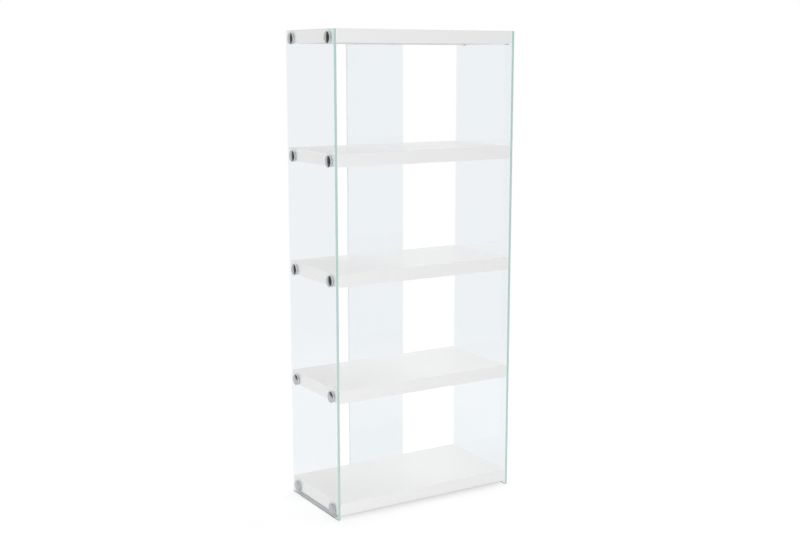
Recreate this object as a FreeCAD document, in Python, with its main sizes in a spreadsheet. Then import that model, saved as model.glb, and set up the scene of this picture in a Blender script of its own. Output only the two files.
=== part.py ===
import FreeCAD, Part
import math
import os
import Sketcher

# An etagere bookcase: five thick hollow-core shelves bolted between two clear glass side panels, with a narrow
# glass panel bolted to their back edges. Nothing moves, and the glass panels stand straight on the floor.
# Frame: +Z up, +Y towards the back, +X to the right when facing the front. The origin is on the floor, at the
# centre of the whole outline, bolt heads included.

# Driving dimensions in millimetres, and counts.
SIZES = {
    "width_over_glass": "610",
    "glass_depth": "298",
    "glass_thickness": "8",
    "glass_corner_radius": "4",
    "glass_arris": "0.7",
    "back_panel_width": "199",
    "shelf_count": "5",
    "shelf_thickness": "38",
    "shelf_pitch": "341",
    "floor_gap": "12",
    "shelf_edge_radius": "1.5",
    "shelf_corner_radius": "2",
    "skin_thickness": "3",
    "end_rail_width": "45",
    "long_rail_width": "35",
    "core_wall": "1",
    "core_rows": "4",
    "core_columns": "5",
    "bolts_across": "2",
    "bolt_inset": "35.5",
    "side_bolt_drop": "23.5",
    "back_bolt_drop": "21.5",
    "glass_hole": "12",
    "head_diameter": "34",
    "head_thickness": "3.5",
    "head_rim": "1",
    "head_dome": "1.6",
    "shank_diameter": "7.8",
    "shank_tip": "1",
    "bolt_engagement": "18",
    "washer_bore": "8.4",
    "outer_washer_diameter": "33",
    "outer_washer_thickness": "2.5",
    "inner_washer_diameter": "33",
    "inner_washer_thickness": "1",
    "bush_diameter": "11.8",
    "bush_bore": "8.4",
    "insert_diameter": "14",
    "insert_bore": "8",
    "insert_length": "22",
    "insert_clearance": "0.1",
}

# Sizes that follow from the driving ones, as expressions of the sheet.
SHELF_LENGTH = "(Sizes.width_over_glass - 2 * (Sizes.glass_thickness + Sizes.inner_washer_thickness))"
RAIL_HEIGHT = "(Sizes.shelf_thickness - 2 * Sizes.skin_thickness)"
LONG_RAIL_LENGTH = f"({SHELF_LENGTH} - 2 * Sizes.end_rail_width)"
CORE_DEPTH = "(Sizes.glass_depth - 2 * Sizes.long_rail_width)"
CELL_PITCH = f"({CORE_DEPTH} / Sizes.core_rows)"
CELL_FLATS = f"({CELL_PITCH} - Sizes.core_wall)"
COLUMN_STEP = f"({CELL_PITCH} * sqrt(3) / 2)"
PANEL_HEIGHT = "(Sizes.floor_gap + Sizes.shelf_thickness + (Sizes.shelf_count - 1) * Sizes.shelf_pitch)"
BOLT_STANDOFF = "(Sizes.outer_washer_thickness + Sizes.head_thickness)"
BACK_HARDWARE = f"(Sizes.inner_washer_thickness + Sizes.glass_thickness + {BOLT_STANDOFF})"
SIDE_GLASS_Y = f"(-{BACK_HARDWARE} / 2)"
SHELF_BACK_Y = f"({SIDE_GLASS_Y} + Sizes.glass_depth / 2)"
SHELF_FRONT_Y = f"({SIDE_GLASS_Y} - Sizes.glass_depth / 2)"
BACK_GLASS_Y = f"({SHELF_BACK_Y} + Sizes.inner_washer_thickness + Sizes.glass_thickness / 2)"
SIDE_GLASS_X = "(Sizes.width_over_glass / 2 - Sizes.glass_thickness / 2)"
SIDE_BOLT_SPAN = "(Sizes.glass_depth - 2 * Sizes.bolt_inset)"
BACK_BOLT_SPAN = "(Sizes.back_panel_width - 2 * Sizes.bolt_inset)"
FIRST_SHELF_TOP = "(Sizes.floor_gap + Sizes.shelf_thickness)"
SIDE_BOLT_HEIGHT = f"({FIRST_SHELF_TOP} - Sizes.side_bolt_drop)"
BACK_BOLT_HEIGHT = f"({FIRST_SHELF_TOP} - Sizes.back_bolt_drop)"
BOLT_RISE = "((Sizes.shelf_count - 1) * Sizes.shelf_pitch)"
INSERT_HOLE = "(Sizes.insert_diameter + 2 * Sizes.insert_clearance)"

# Shelf levels from the floor up.
LEVELS = ("bottom", "lower", "middle", "upper", "top")

# Sketcher's numbers for its origin, its two axes and the named points of a curve.
ORIGIN, START, END, CENTRE = -1, 1, 2, 3
HORIZONTAL_AXIS, VERTICAL_AXIS = -1, -2
TINY = 1e-6

X, Y, Z = FreeCAD.Vector(1, 0, 0), FreeCAD.Vector(0, 1, 0), FreeCAD.Vector(0, 0, 1)

doc = FreeCAD.newDocument("EtagereBookcase")
sheet = doc.addObject("Spreadsheet::Sheet", "Sizes")
for row, (alias, size) in enumerate(SIZES.items(), start=1):
    sheet.set(f"A{row}", size)
    sheet.setAlias(f"A{row}", alias)
doc.recompute()

subparts = []


def number(expression):
    """Value of a size expression in millimetres, or of a count."""
    return float(sheet.evalExpression(str(expression)))


def new_body(label):
    """New sub-part, whose label is its node's name."""
    body = doc.addObject("PartDesign::Body", label)
    body.Label = label
    subparts.append(body)
    return body


def origin_feature(body, role):
    """Plane or axis of the body's own origin."""
    return next(feature for feature in body.Origin.OriginFeatures if feature.Role == role)


def place(body, x="0", y="0", z="0", rotation=FreeCAD.Rotation()):
    """Turns the body, then binds its position to the sheet."""
    body.Placement = FreeCAD.Placement(FreeCAD.Vector(), rotation)
    for axis, expression in zip("xyz", (x, y, z)):
        body.setExpression(f"Placement.Base.{axis}", expression)


def new_sketch(body, name, plane, lift="0"):
    """Sketch on one of the body's own planes, lifted along that plane's normal."""
    sketch = body.newObject("Sketcher::SketchObject", name)
    sketch.AttachmentSupport = (origin_feature(body, plane), [""])
    sketch.MapMode = "FlatFace"
    sketch.setExpression("AttachmentOffset.Base.z", lift)
    return sketch


def hold(sketch, curve, point, x, y):
    """Fixes a point of a curve at distances from the sketch's origin."""
    for kind, axis, expression in (("DistanceX", VERTICAL_AXIS, x), ("DistanceY", HORIZONTAL_AXIS, y)):
        distance = number(expression)
        if abs(distance) < TINY:
            sketch.addConstraint(Sketcher.Constraint("PointOnObject", curve, point, axis))
        else:
            index = sketch.addConstraint(Sketcher.Constraint(kind, ORIGIN, START, curve, point, distance))
            sketch.setExpression(f"Constraints[{index}]", expression)


def dome_arc(edge, top):
    """Arc from a dome's edge to its top, with its centre on the sketch's upright axis."""
    rise = top.y - edge.y
    radius = (edge.x**2 + rise**2) / (2 * rise)
    centre = FreeCAD.Vector(0, top.y - radius, 0)
    start = math.atan2(edge.y - centre.y, edge.x)
    return Part.ArcOfCircle(Part.Circle(centre, Z, radius), start, math.pi / 2)


def draw_outline(sketch, corners, domed=False):
    """Closed outline through corners, each a pair of size expressions.

    Its edges are straight, but the edge to the last corner of a domed outline is an arc about the upright axis.
    """
    points = [FreeCAD.Vector(number(x), number(y), 0) for x, y in corners]
    first = sketch.GeometryCount
    count = len(points)
    for index, point in enumerate(points):
        following = points[(index + 1) % count]
        if domed and index == count - 2:
            arc = sketch.addGeometry(dome_arc(point, following), False)
            sketch.addConstraint(Sketcher.Constraint("PointOnObject", arc, CENTRE, VERTICAL_AXIS))
        else:
            sketch.addGeometry(Part.LineSegment(point, following), False)
    for index in range(count):
        following = first + (index + 1) % count
        sketch.addConstraint(Sketcher.Constraint("Coincident", first + index, END, following, START))
    for index, (x, y) in enumerate(corners):
        hold(sketch, first + index, START, x, y)


def draw_rectangle(sketch, left, right, bottom, top):
    """Rectangle between four size expressions."""
    draw_outline(sketch, [(left, bottom), (right, bottom), (right, top), (left, top)])


def draw_circle(sketch, x, y, diameter):
    """Circle of a given diameter about a point."""
    centre = FreeCAD.Vector(number(x), number(y), 0)
    curve = sketch.addGeometry(Part.Circle(centre, Z, number(diameter) / 2), False)
    index = sketch.addConstraint(Sketcher.Constraint("Diameter", curve, number(diameter)))
    sketch.setExpression(f"Constraints[{index}]", diameter)
    hold(sketch, curve, CENTRE, x, y)


def draw_hexagon(sketch, x, y, flats):
    """Hexagon about a point, two of its flats square to the sketch's upright axis."""
    far, near, half = f"{flats} / sqrt(3)", f"{flats} / sqrt(12)", f"{flats} / 2"
    corners = ((far, "0"), (near, half), (f"-{near}", half))
    corners += ((f"-{far}", "0"), (f"-{near}", f"-{half}"), (near, f"-{half}"))
    draw_outline(sketch, [(f"{x} + {dx}", f"{y} + {dy}") for dx, dy in corners])


def add_feature(body, kind, name, **settings):
    """Adds a feature at the body's tip and recomputes it."""
    feature = body.newObject(f"PartDesign::{kind}", name)
    for key, value in settings.items():
        if isinstance(value, str) and key in ("Length", "Radius", "Size"):
            feature.setExpression(key, value)
        else:
            setattr(feature, key, value)
    body.Tip = feature
    doc.recompute()
    return feature


def pad(body, sketch, length, symmetric=False):
    """Pads a sketch."""
    return add_feature(body, "Pad", "Pad", Profile=sketch, Length=length, Midplane=symmetric)


def pocket(body, sketch, depth, symmetric=False, reverse=False):
    """Cuts a sketch out of the body, and makes sure that it took something away."""
    before = body.Tip.Shape.Volume
    settings = {"Profile": sketch, "Length": depth, "Midplane": symmetric, "Reversed": reverse}
    feature = add_feature(body, "Pocket", "Pocket", **settings)
    if feature.Shape.Volume > before - TINY:
        raise ValueError(f"{body.Label}: {sketch.Name} cut nothing")
    return feature


def repeat(body, features, first_axis, first_length, first_count, second_axis, second_length, second_count):
    """Repeats features over a grid of two of the body's axes."""
    pattern = body.newObject("PartDesign::LinearPattern", "Grid")
    pattern.Originals = features
    pattern.Direction = (origin_feature(body, first_axis), [""])
    pattern.Direction2 = (origin_feature(body, second_axis), [""])
    pattern.Mode = "Extent"
    pattern.Mode2 = "Extent"
    pattern.setExpression("Length", first_length)
    pattern.setExpression("Occurrences", first_count)
    pattern.setExpression("Length2", second_length)
    pattern.setExpression("Occurrences2", second_count)
    body.Tip = pattern
    doc.recompute()
    return pattern


def edges_along(shape, direction, test=lambda point: True):
    """Names of the straight edges that run along a direction and whose middle passes a test."""
    names = []
    for index, edge in enumerate(shape.Edges, start=1):
        straight = isinstance(edge.Curve, Part.Line)
        if straight and edge.Curve.Direction.cross(direction).Length < TINY and test(edge.CenterOfMass):
            names.append(f"Edge{index}")
    return names


def faces_facing(shape, directions):
    """Names of the flat faces whose outward normal is one of the directions."""
    names = []
    for index, face in enumerate(shape.Faces, start=1):
        if isinstance(face.Surface, Part.Plane):
            normal = face.normalAt(0, 0)
            if any(normal.getAngle(direction) < TINY for direction in directions):
                names.append(f"Face{index}")
    return names


def round_edges(body, names, radius):
    """Fillets the named edges of the body's tip."""
    return add_feature(body, "Fillet", "Rounding", Base=(body.Tip, names), Radius=radius)


def glass_panel(label, width, bolt_span, bolt_height, **placement):
    """Upright pane with rounded corners, ground arrises and two bolt holes a shelf, facing its own Y axis."""
    body = new_body(label)
    outline = new_sketch(body, "PaneOutline", "XZ_Plane")
    draw_rectangle(outline, f"-{width} / 2", f"{width} / 2", "0", PANEL_HEIGHT)
    pane = pad(body, outline, "Sizes.glass_thickness", symmetric=True)
    pane = round_edges(body, edges_along(pane.Shape, Y), "Sizes.glass_corner_radius")
    both_faces = faces_facing(pane.Shape, (Y, -Y))
    add_feature(body, "Chamfer", "Arris", Base=(pane, both_faces), Size="Sizes.glass_arris")
    holes = new_sketch(body, "BoltHoles", "XZ_Plane")
    for side in ("-", ""):
        draw_circle(holes, f"{side}{bolt_span} / 2", bolt_height, "Sizes.glass_hole")
    drilled = pocket(body, holes, "2 * Sizes.glass_thickness", symmetric=True)
    repeat(body, [drilled], "Z_Axis", BOLT_RISE, "Sizes.shelf_count", "X_Axis", "1", "1")
    place(body, **placement)


def shelf_skin(label, height, facing):
    """Thin top or bottom board of a shelf, with its outer edges and corners rounded."""
    body = new_body(label)
    outline = new_sketch(body, "SkinOutline", "XY_Plane")
    half_length, half_depth = f"{SHELF_LENGTH} / 2", "Sizes.glass_depth / 2"
    draw_rectangle(outline, f"-{half_length}", half_length, f"-{half_depth}", half_depth)
    board = pad(body, outline, "Sizes.skin_thickness")
    board = round_edges(body, edges_along(board.Shape, Z), "Sizes.shelf_corner_radius")
    round_edges(body, faces_facing(board.Shape, (facing,)), "Sizes.shelf_edge_radius")
    place(body, y=SIDE_GLASS_Y, z=height)


def end_rail(label, height, side):
    """Solid rail at a shelf's end, drilled for two inserts. Its own origin is on its outer face."""
    body = new_body(label)
    outline = new_sketch(body, "RailOutline", "XY_Plane")
    across = ["0", "Sizes.end_rail_width"] if side < 0 else ["-Sizes.end_rail_width", "0"]
    draw_rectangle(outline, *across, "-Sizes.glass_depth / 2", "Sizes.glass_depth / 2")
    rail = pad(body, outline, RAIL_HEIGHT)
    outer = edges_along(rail.Shape, Z, lambda point: abs(point.x) < TINY)
    round_edges(body, outer, "Sizes.shelf_corner_radius")
    holes = new_sketch(body, "InsertHoles", "YZ_Plane")
    for end in ("-", ""):
        axis_height = "Sizes.shelf_thickness - Sizes.side_bolt_drop - Sizes.skin_thickness"
        draw_circle(holes, f"{end}{SIDE_BOLT_SPAN} / 2", axis_height, INSERT_HOLE)
    pocket(body, holes, "Sizes.insert_length", reverse=side < 0)
    outer_face = f"{SHELF_LENGTH} / 2" if side > 0 else f"-{SHELF_LENGTH} / 2"
    place(body, x=outer_face, y=SIDE_GLASS_Y, z=height)


def long_rail(label, height, drilled):
    """Solid rail along a shelf's front or back. The back one is drilled, and made from its back face."""
    body = new_body(label)
    outline = new_sketch(body, "RailOutline", "XY_Plane")
    across = ["-Sizes.long_rail_width", "0"] if drilled else ["0", "Sizes.long_rail_width"]
    draw_rectangle(outline, f"-{LONG_RAIL_LENGTH} / 2", f"{LONG_RAIL_LENGTH} / 2", *across)
    pad(body, outline, RAIL_HEIGHT)
    if drilled:
        holes = new_sketch(body, "InsertHoles", "XZ_Plane")
        for end in ("-", ""):
            axis_height = "Sizes.shelf_thickness - Sizes.back_bolt_drop - Sizes.skin_thickness"
            draw_circle(holes, f"{end}{BACK_BOLT_SPAN} / 2", axis_height, INSERT_HOLE)
        pocket(body, holes, "Sizes.insert_length", reverse=True)
    place(body, y=SHELF_BACK_Y if drilled else SHELF_FRONT_Y, z=height)


def honeycomb_core(label, height):
    """Paper honeycomb between the rails: two staggered grids of hexagonal cells, cut off at the rails."""
    body = new_body(label)
    outline = new_sketch(body, "CoreOutline", "XY_Plane")
    half_length, half_depth = f"{LONG_RAIL_LENGTH} / 2", f"{CORE_DEPTH} / 2"
    draw_rectangle(outline, f"-{half_length}", half_length, f"-{half_depth}", half_depth)
    pad(body, outline, RAIL_HEIGHT)
    for extra in (0, 1):
        columns, rows = f"(Sizes.core_columns + {extra})", f"(Sizes.core_rows + {extra})"
        across, along = f"({columns} - 1) * 2 * {COLUMN_STEP}", f"({rows} - 1) * {CELL_PITCH}"
        cell = new_sketch(body, "Cell", "XY_Plane")
        draw_hexagon(cell, f"-({across}) / 2", f"-({along}) / 2", CELL_FLATS)
        cut = pocket(body, cell, RAIL_HEIGHT, reverse=True)
        repeat(body, [cut], "X_Axis", across, columns, "Y_Axis", along, rows)
    place(body, y=SIDE_GLASS_Y, z=height)


def shelf(level, index):
    """The seven pieces of one hollow-core shelf."""
    foot = f"Sizes.floor_gap + {index} * Sizes.shelf_pitch"
    inside = f"{foot} + Sizes.skin_thickness"
    name = f"{level}_shelf"
    shelf_skin(f"{name}_bottom_skin", foot, -Z)
    shelf_skin(f"{name}_top_skin", f"{inside} + {RAIL_HEIGHT}", Z)
    end_rail(f"{name}_left_rail", inside, -1)
    end_rail(f"{name}_right_rail", inside, 1)
    long_rail(f"{name}_front_rail", inside, drilled=False)
    long_rail(f"{name}_back_rail", inside, drilled=True)
    honeycomb_core(f"{name}_core", inside)


def turned_group(label, profile, site, domed=False):
    """Round pieces, one at each bolt of a panel. Z is the bolt's axis, and points away from the glass."""
    body = new_body(label)
    section = new_sketch(body, "Section", "XZ_Plane")
    draw_outline(section, profile, domed)
    settings = {"Profile": section, "ReferenceAxis": (section, ["V_Axis"]), "Angle": 360}
    turned = add_feature(body, "Revolution", "Turned", **settings)
    across = ("X_Axis", site["span"], "Sizes.bolts_across")
    upward = ("Y_Axis", BOLT_RISE, "Sizes.shelf_count")
    repeat(body, [turned], *across, *upward)
    place(body, **site["placement"])


def ring(bore, diameter, low, high):
    """Half section of a plain ring between two heights."""
    inner, outer = f"{bore} / 2", f"{diameter} / 2"
    return [(inner, low), (outer, low), (outer, high), (inner, high)]


def bolt_section():
    """Half section of a bolt: pointed shank, and a plain disc head with a bevelled rim and a low dome."""
    shank, head = "Sizes.shank_diameter / 2", "Sizes.head_diameter / 2"
    under = "Sizes.outer_washer_thickness"
    rim = f"{BOLT_STANDOFF} - Sizes.head_dome"
    tip = "-(Sizes.glass_thickness + Sizes.inner_washer_thickness + Sizes.bolt_engagement)"
    return [
        ("0", tip),
        (f"{shank} - Sizes.shank_tip", tip),
        (shank, f"{tip} + Sizes.shank_tip"),
        (shank, under),
        (head, under),
        (head, f"{rim} - Sizes.head_rim"),
        (f"{head} - Sizes.head_rim", rim),
        ("0", BOLT_STANDOFF),
    ]


def fastenings(panel, site):
    """Bolts, washers, bushes and inserts that hold the shelves to one glass panel."""
    glass_back = "-Sizes.glass_thickness"
    shelf_face = "-(Sizes.glass_thickness + Sizes.inner_washer_thickness)"
    insert_end = f"{shelf_face} - Sizes.insert_length"
    turned_group(f"{panel}_bolts", bolt_section(), site, domed=True)
    outer_washer = ring("Sizes.washer_bore", "Sizes.outer_washer_diameter", "0", "Sizes.outer_washer_thickness")
    turned_group(f"{panel}_outer_washers", outer_washer, site)
    bush = ring("Sizes.bush_bore", "Sizes.bush_diameter", glass_back, "0")
    turned_group(f"{panel}_glass_bushes", bush, site)
    inner_washer = ring("Sizes.washer_bore", "Sizes.inner_washer_diameter", shelf_face, glass_back)
    turned_group(f"{panel}_inner_washers", inner_washer, site)
    insert = ring("Sizes.insert_bore", "Sizes.insert_diameter", insert_end, shelf_face)
    turned_group(f"{panel}_shelf_inserts", insert, site)


def bolt_sites():
    """Where each panel's first bolt is, which way it points and how far its neighbour is."""
    half_span, back_half_span = f"{SIDE_BOLT_SPAN} / 2", f"{BACK_BOLT_SPAN} / 2"
    outer_glass = "Sizes.width_over_glass / 2"
    back_face = f"{BACK_GLASS_Y} + Sizes.glass_thickness / 2"
    left = {"x": f"-{outer_glass}", "y": f"{SIDE_GLASS_Y} + {half_span}", "z": SIDE_BOLT_HEIGHT}
    right = {"x": outer_glass, "y": f"{SIDE_GLASS_Y} - {half_span}", "z": SIDE_BOLT_HEIGHT}
    back = {"x": back_half_span, "y": back_face, "z": BACK_BOLT_HEIGHT}
    left["rotation"] = FreeCAD.Rotation(-Y, Z, -X)
    right["rotation"] = FreeCAD.Rotation(Y, Z, X)
    back["rotation"] = FreeCAD.Rotation(-X, Z, Y)
    return {
        "left": {"span": SIDE_BOLT_SPAN, "placement": left},
        "right": {"span": SIDE_BOLT_SPAN, "placement": right},
        "back": {"span": BACK_BOLT_SPAN, "placement": back},
    }


def check_document():
    """Stops before anything is written if an object failed or a sub-part's shape isn't sound."""
    for item in doc.Objects:
        if "Invalid" in item.State or "Error" in item.State:
            raise ValueError(f"{item.Label} failed: {item.State}")
    for body in subparts:
        if body.Shape.isNull() or not body.Shape.isValid() or not body.Shape.Solids:
            raise ValueError(f"{body.Label} has no sound shape")


def write_parts():
    """Writes each sub-part to its own file and prints its size."""
    os.makedirs("parts", exist_ok=True)
    for body in subparts:
        box = body.Shape.BoundBox
        solids, volume = len(body.Shape.Solids), body.Shape.Volume / 1000
        print(
            f"{body.Label:32s} solids {solids:3d} volume {volume:9.2f} cm3"
            f"  x {box.XMin:8.2f} {box.XMax:8.2f}  y {box.YMin:8.2f} {box.YMax:8.2f}"
            f"  z {box.ZMin:8.2f} {box.ZMax:8.2f}"
        )
        body.Shape.exportStep(f"parts/{body.Label}.step")


def main():
    """Builds the bookcase: panels, shelves, then what bolts them together."""
    quarter_turn = FreeCAD.Rotation(Z, 90)
    side_bolts = ("Sizes.glass_depth", SIDE_BOLT_SPAN, SIDE_BOLT_HEIGHT)
    glass_panel("left_glass_panel", *side_bolts, x=f"-{SIDE_GLASS_X}", y=SIDE_GLASS_Y, rotation=quarter_turn)
    glass_panel("right_glass_panel", *side_bolts, x=SIDE_GLASS_X, y=SIDE_GLASS_Y, rotation=quarter_turn)
    glass_panel("back_glass_panel", "Sizes.back_panel_width", BACK_BOLT_SPAN, BACK_BOLT_HEIGHT, y=BACK_GLASS_Y)
    for index, level in enumerate(LEVELS):
        shelf(level, index)
    for panel, site in bolt_sites().items():
        fastenings(panel, site)
    doc.recompute()
    check_document()
    write_parts()


main()
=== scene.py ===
"""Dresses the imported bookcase: clear glass panels, glossy white shelves and the chromed bolts that join them.

Everything is in metres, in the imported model's own frame: +Z up, +Y towards the back, the floor at Z = 0.
"""

from __future__ import annotations

import logging
import math
from collections.abc import Iterable, Mapping, Sequence
from dataclasses import dataclass
from enum import Enum
from typing import Any

import bmesh
import bpy
from bmesh.types import BMesh, BMFace, BMVert
from bpy.types import Material, Mesh, Node, NodeSocket, NodeTree, Object, World
from mathutils import Euler, Matrix, Vector

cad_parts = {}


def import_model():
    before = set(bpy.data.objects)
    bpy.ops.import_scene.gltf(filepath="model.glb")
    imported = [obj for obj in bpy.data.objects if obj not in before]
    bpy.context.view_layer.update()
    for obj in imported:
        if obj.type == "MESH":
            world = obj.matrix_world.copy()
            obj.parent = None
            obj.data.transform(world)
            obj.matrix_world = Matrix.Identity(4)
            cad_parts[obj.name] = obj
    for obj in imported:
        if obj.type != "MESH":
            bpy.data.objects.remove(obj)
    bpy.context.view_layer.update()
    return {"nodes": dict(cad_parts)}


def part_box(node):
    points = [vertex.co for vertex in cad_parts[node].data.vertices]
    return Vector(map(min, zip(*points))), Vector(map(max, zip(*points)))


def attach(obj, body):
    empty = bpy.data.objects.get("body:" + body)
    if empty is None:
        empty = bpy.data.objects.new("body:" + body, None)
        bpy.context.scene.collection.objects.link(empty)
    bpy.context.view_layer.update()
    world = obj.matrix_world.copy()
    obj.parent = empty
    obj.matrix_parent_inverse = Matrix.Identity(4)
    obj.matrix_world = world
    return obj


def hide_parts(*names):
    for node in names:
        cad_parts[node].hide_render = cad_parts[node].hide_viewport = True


log = logging.getLogger("bookcase")

BODY = "root"
MM = 0.001
UP = Vector((0.0, 0.0, 1.0))

LEVELS = ("bottom", "lower", "middle", "upper", "top")
SHELF_BOARDS = ("bottom_skin", "top_skin", "left_rail", "right_rail", "front_rail", "back_rail")

Triple = tuple[float, float, float]
Colour = Triple
Span = tuple[float, float]
Inputs = Mapping[str | int, Any]
Rays = tuple[tuple[str, str], ...]


class Panel(Enum):
    """A glass panel, named for its place, with the way that its bolt heads face."""

    LEFT = ("left", (-1.0, 0.0, 0.0))
    RIGHT = ("right", (1.0, 0.0, 0.0))
    BACK = ("back", (0.0, 1.0, 0.0))

    @property
    def key(self) -> str:
        """First word of the names of the panel's nodes."""
        return self.value[0]

    @property
    def outward(self) -> Vector:
        """Direction away from the shelves, square to the glass."""
        return Vector(self.value[1])

    @property
    def across(self) -> Vector:
        """Level direction along the glass, so that across, up and outward are right-handed."""
        return UP.cross(self.outward)

    @property
    def turn(self) -> Matrix:
        """Rotation from a piece's own X, Y and Z to across, up and outward."""
        return Matrix((self.across, UP, self.outward)).transposed()


class Slot(Enum):
    """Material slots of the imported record."""

    GLASS = "clear_glass"
    LACQUER = "white_lacquer"
    CHROME = "bolt_chrome"
    PLASTIC = "clear_plastic"
    STEEL = "insert_steel"


def fill(node: Node, inputs: Inputs) -> None:
    """Sets inputs of a node, or joins them to what feeds them.

    Args:
        node: The node.
        inputs: By the input's name or number, its value or the socket that feeds it.
    """
    for key, value in inputs.items():
        if isinstance(value, NodeSocket):
            node.id_data.links.new(value, node.inputs[key])
        else:
            node.inputs[key].default_value = value


def add_node(tree: NodeTree, kind: str, inputs: Inputs | None = None, **properties: Any) -> Node:
    """Adds a node to a tree.

    Args:
        tree: Tree that gets the node.
        kind: Blender's name for the node's type.
        inputs: What the node's inputs are filled with.
        properties: What the node's own properties are set to.

    Returns:
        The new node.
    """
    node = tree.nodes.new(kind)
    for name, value in properties.items():
        setattr(node, name, value)
    fill(node, inputs or {})
    return node


def bare_tree(owner: Material | World) -> NodeTree:
    """Switches on the nodes of a material or a world, and empties them.

    Args:
        owner: The material or the world.

    Returns:
        Its empty tree.
    """
    owner.use_nodes = True
    owner.node_tree.nodes.clear()
    return owner.node_tree


def blend_tones(tree: NodeTree, tones: Mapping[str, Any], mode: str = "MIX") -> NodeSocket:
    """Blends two tones.

    Args:
        tree: Tree that gets the node.
        tones: Factor and tones by their sockets' identifiers, each a value or the socket that feeds it.
        mode: Blender's name for the way of blending.

    Returns:
        The blend.
    """
    node = add_node(tree, "ShaderNodeMix", data_type="RGBA", blend_type=mode)
    numbers = {socket.identifier: number for number, socket in enumerate(node.inputs)}
    fill(node, {numbers[identifier]: tone for identifier, tone in tones.items()})
    return next(socket for socket in node.outputs if socket.identifier == "Result_Color")


def opaque(colour: Colour) -> tuple[float, float, float, float]:
    """A colour with full alpha."""
    return (*colour, 1.0)


class SurfaceDrift:
    """Shader node group: slow drifts of tone and polish over a surface, and a fine grain for its bump."""

    NAME = "surface_drift"
    INPUTS = {
        "Vector": "NodeSocketVector",
        "Pale": "NodeSocketColor",
        "Deep": "NodeSocketColor",
        "Patch Size": "NodeSocketFloat",
        "Smoothest": "NodeSocketFloat",
        "Roughest": "NodeSocketFloat",
        "Grain Size": "NodeSocketFloat",
    }
    OUTPUTS = {"Color": "NodeSocketColor", "Roughness": "NodeSocketFloat", "Height": "NodeSocketFloat"}
    POLISH_RATIO = 2.3

    def __init__(self) -> None:
        """Builds the group once."""
        self.tree = bpy.data.node_groups.new(self.NAME, "ShaderNodeTree")
        for name, kind in self.INPUTS.items():
            self.tree.interface.new_socket(name=name, in_out="INPUT", socket_type=kind)
        for name, kind in self.OUTPUTS.items():
            self.tree.interface.new_socket(name=name, in_out="OUTPUT", socket_type=kind)
        self._wire()

    def _noise(
        self, place: NodeSocket, size: NodeSocket, ratio: float = 1.0, detail: float = 3.0
    ) -> NodeSocket:
        """Noise whose patches are about a given size.

        Args:
            place: Where the noise is read.
            size: Size of its patches, in metres.
            ratio: How many times finer than that size it is.
            detail: How many finer noises are added to it.

        Returns:
            The noise, from 0 to 1.
        """
        scale = add_node(self.tree, "ShaderNodeMath", {0: ratio, 1: size}, operation="DIVIDE")
        inputs = {"Vector": place, "Scale": scale.outputs[0], "Detail": detail}
        return add_node(self.tree, "ShaderNodeTexNoise", inputs).outputs["Fac"]

    def _wire(self) -> None:
        """Joins the noises to the group's outputs."""
        given = add_node(self.tree, "NodeGroupInput").outputs
        place, patch = given["Vector"], given["Patch Size"]
        drift = self._noise(place, patch)
        tones = {"Factor_Float": drift, "A_Color": given["Pale"], "B_Color": given["Deep"]}
        shine = self._noise(place, patch, ratio=self.POLISH_RATIO)
        reach = {"Value": shine, "To Min": given["Smoothest"], "To Max": given["Roughest"]}
        polish = add_node(self.tree, "ShaderNodeMapRange", reach)
        results = {
            "Color": blend_tones(self.tree, tones),
            "Roughness": polish.outputs["Result"],
            "Height": self._noise(place, given["Grain Size"], detail=0.0),
        }
        add_node(self.tree, "NodeGroupOutput", results)


@dataclass(frozen=True)
class Grain:
    """Fine relief of a surface: the share of it that shows, its depth and the size of its patches."""

    strength: float
    depth: float = 0.1 * MM
    size: float = 1 * MM


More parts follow.
